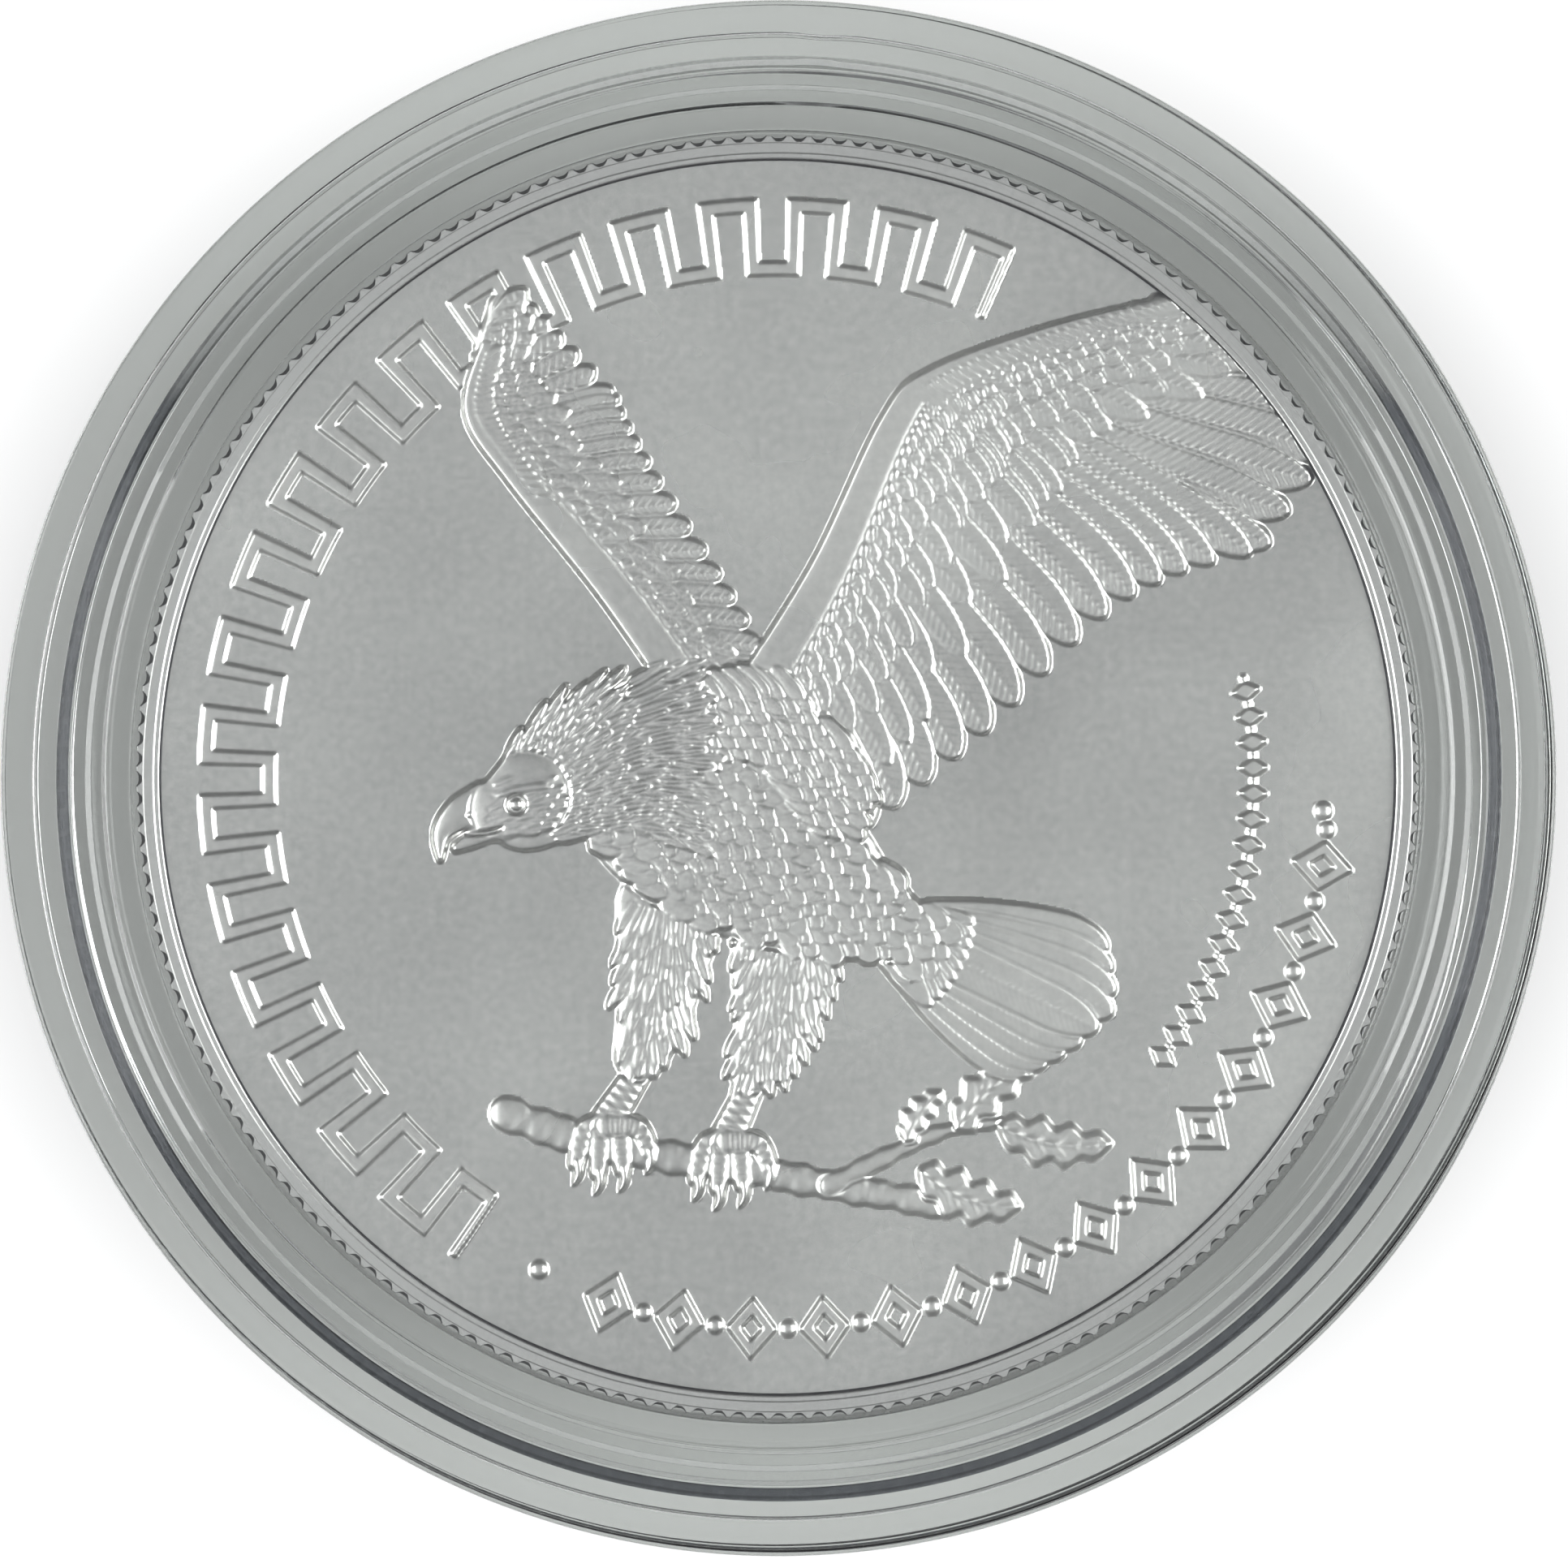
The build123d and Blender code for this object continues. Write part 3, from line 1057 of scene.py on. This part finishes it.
def open_border(faces):
    """The edges that only one of the quads has, in its direction."""
    edges = np.concatenate([faces[:, [0, 1]], faces[:, [1, 2]], faces[:, [2, 3]], faces[:, [3, 0]]])
    undirected = np.sort(edges, axis=1)
    first, times = np.unique(undirected, axis=0, return_index=True, return_counts=True)[1:]
    return edges[first[times == 1]]


def close_bottom(data, up):
    """Fills the open lower edge of a relief's skirt."""
    mesh = bmesh.new()
    mesh.from_mesh(data)
    open_edges = [edge for edge in mesh.edges if len(edge.link_faces) == 1]
    bmesh.ops.triangle_fill(mesh, use_beauty=False, use_dissolve=False, edges=open_edges, normal=(0, 0, -up))
    mesh.to_mesh(data)
    mesh.free()


def shade_relief(data, slopes, sheet_corners):
    """Shades the sculpted sheet, whose corners come first, by its slopes, and the rest flat."""
    data.shade_smooth()
    corners = np.zeros(len(data.loops), int)
    data.loops.foreach_get("vertex_index", corners)
    facing = np.zeros((len(data.polygons), 3))
    data.polygons.foreach_get("normal", facing.ravel())
    sizes = np.zeros(len(data.polygons), int)
    data.polygons.foreach_get("loop_total", sizes)
    normals = np.repeat(facing, sizes, axis=0)
    normals[:sheet_corners] = slopes[corners[:sheet_corners]]
    normals /= np.linalg.norm(normals, axis=1, keepdims=True)
    data.normals_split_custom_set(normals.tolist())


def relief_piece(name, canvas, owner, face_height, up, material):
    """Makes one struck feature a closed solid: its sculpted sheet, a skirt and a flat bottom."""
    height = canvas.height
    tall = np.maximum.reduce(cell_corners(height))
    owned = np.maximum.reduce(cell_corners(canvas.owner))
    i, j = np.nonzero((tall > LOWEST_RELIEF) & (owned == owner))
    count = height.shape[1]
    first = i * count + j
    square = np.stack([first, first + count, first + count + 1, first + 1], axis=1)
    used, faces = np.unique(square, return_inverse=True)
    faces = faces.reshape(-1, 4)
    gx, gy = np.gradient(height, canvas.cell)
    slopes = np.stack([-gx.ravel()[used], -gy.ravel()[used], np.ones(len(used))], axis=1)
    sheet = np.stack([grid.ravel()[used] for grid in (canvas.x, canvas.y, height)], axis=1)
    border = open_border(faces)
    rim, place = np.unique(border, return_inverse=True)
    place = place.reshape(-1, 2) + len(used)
    skirt = np.stack([border[:, 1], border[:, 0], place[:, 0], place[:, 1]], axis=1)
    bottom = sheet[rim]
    bottom[:, 2] = -SUNK
    vertices = np.concatenate([sheet, bottom])
    if up < 0:
        vertices = vertices * (-1, 1, -1)
        slopes = slopes * (-1, 1, -1)
    vertices[:, 2] += face_height
    quads = np.concatenate([faces, skirt]).tolist()
    item = add_object(name, vertices, quads, "coin", material)
    close_bottom(item.data, up)
    shade_relief(item.data, slopes, faces.size)
    return item


# ---------------------------------------------------------------- light, floor and camera
def soft_box(name, place, size, power):
    """A square lamp that faces the origin."""
    light = bpy.data.lights.new(name, "AREA")
    light.shape = "SQUARE"
    light.size = size
    light.energy = power
    item = bpy.data.objects.new(name, light)
    bpy.context.scene.collection.objects.link(item)
    item.location = Vector(place)
    item.rotation_mode = "QUATERNION"
    item.rotation_quaternion = (-Vector(place)).to_track_quat("-Z", "Y")


def make_world():
    """A soft room: brightest a little to the left of overhead, and dark towards the horizon."""
    world = bpy.data.worlds.new("room")
    bpy.context.scene.world = world
    world.use_nodes = True
    nodes, links = world.node_tree.nodes, world.node_tree.links
    background = nodes["Background"]
    place = nodes.new("ShaderNodeTexCoord")
    toward = nodes.new("ShaderNodeVectorMath")
    toward.operation = "DOT_PRODUCT"
    toward.inputs[1].default_value = Vector((-0.24, -0.10, 0.94)).normalized()
    ramp = nodes.new("ShaderNodeValToRGB")
    ramp.color_ramp.elements[0].position = 0.0
    ramp.color_ramp.elements[0].color = (0.05, 0.05, 0.055, 1)
    ramp.color_ramp.elements[1].position = 1.0
    ramp.color_ramp.elements[1].color = (0.80, 0.805, 0.81, 1)
    for position, grey in ((0.45, 0.08), (0.70, 0.17), (0.86, 0.29), (0.94, 0.42), (0.985, 0.66)):
        step = ramp.color_ramp.elements.new(position)
        step.color = (grey, grey, grey * 1.03, 1)
    links.new(place.outputs["Generated"], toward.inputs[0])
    links.new(toward.outputs["Value"], ramp.inputs["Fac"])
    links.new(ramp.outputs["Color"], background.inputs["Color"])
    background.inputs["Strength"].default_value = 1.0


def make_floor():
    """A pale floor just under the capsule."""
    mesh = bpy.data.meshes.new("floor")
    half = 1.5
    corners = [(-half, -half, 0), (half, -half, 0), (half, half, 0), (-half, half, 0)]
    mesh.from_pydata(corners, [], [(0, 1, 2, 3)])
    floor = bpy.data.objects.new("floor", mesh)
    floor.location.z = -0.00002
    bpy.context.scene.collection.objects.link(floor)
    material, *_, shader = new_material("floor")
    shader.inputs["Base Color"].default_value = (0.96, 0.96, 0.96, 1)
    shader.inputs["Roughness"].default_value = 0.9
    mesh.materials.append(material)


def make_camera():
    """Looks almost straight down, from slightly towards the upper left."""
    data = bpy.data.cameras.new("camera")
    camera = bpy.data.objects.new("camera", data)
    bpy.context.scene.collection.objects.link(camera)
    lean = math.radians(2.5)
    side = math.radians(138)
    distance = 0.36
    aim = Vector((0.22, -0.23, PARTING)) * MM
    back = Vector((math.cos(side) * math.sin(lean), math.sin(side) * math.sin(lean), math.cos(lean)))
    camera.location = aim + back * distance
    camera.rotation_mode = "QUATERNION"
    right = Vector((0, 1, 0)).cross(back).normalized()
    camera.rotation_quaternion = Matrix((right, back.cross(right), back)).transposed().to_quaternion()
    view_width = 49.8 * MM
    data.sensor_width = 36
    data.lens = data.sensor_width * distance / view_width
    data.clip_start = 0.01
    data.clip_end = 10
    bpy.context.scene.camera = camera


# ---------------------------------------------------------------- the scene
field_silver = silver_material("field_silver", (0.71, 0.715, 0.705), (0.82, 0.815, 0.80), 0.22, 0.004)
relief_silver = silver_material("relief_silver", (0.71, 0.71, 0.70), (0.81, 0.805, 0.79), 0.24, 0.003)
clear = clear_material("clear_plastic", (0.80, 0.815, 0.805))
# the ring wall: near-black plastic as painted shade, turning lighter towards +Y where the painted shade fades
wall = painted_shade_wall_material((0.02, 0.022, 0.026), (0.48, 0.49, 0.485))
# the stepped band inside the ring: plastic tinted darker than the rest, as painted shade
band = clear_material("step_band_painted_shade", (0.70, 0.715, 0.705))
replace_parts(make_base(clear, wall, band), "base_shell")
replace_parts(make_lid(clear, wall, band), "lid_shell")
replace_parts(make_coin_body(field_silver, rim_material(), shade_material()), "coin")
top_design = design(FIELD_CELL)
for owner, name in enumerate(PIECE_NAMES, start=1):
    relief_piece("coin_" + name, top_design, owner, COIN_TOP - FIELD_DEPTH, 1, relief_silver)

lower_design = underside(UNDERSIDE_CELL)
relief_piece("coin_underside", lower_design, UNDERSIDE, COIN_BOTTOM + FIELD_DEPTH, -1, relief_silver)

make_world()
make_floor()
soft_box("left_box", (-0.35, -0.03, 0.36), 0.36, 1.98)
soft_box("right_box", (0.35, 0.0, 0.36), 0.36, 1.98)
make_camera()

scene = bpy.context.scene
scene.view_settings.view_transform = "Standard"
scene.cycles.caustics_reflective = False
scene.cycles.caustics_refractive = False
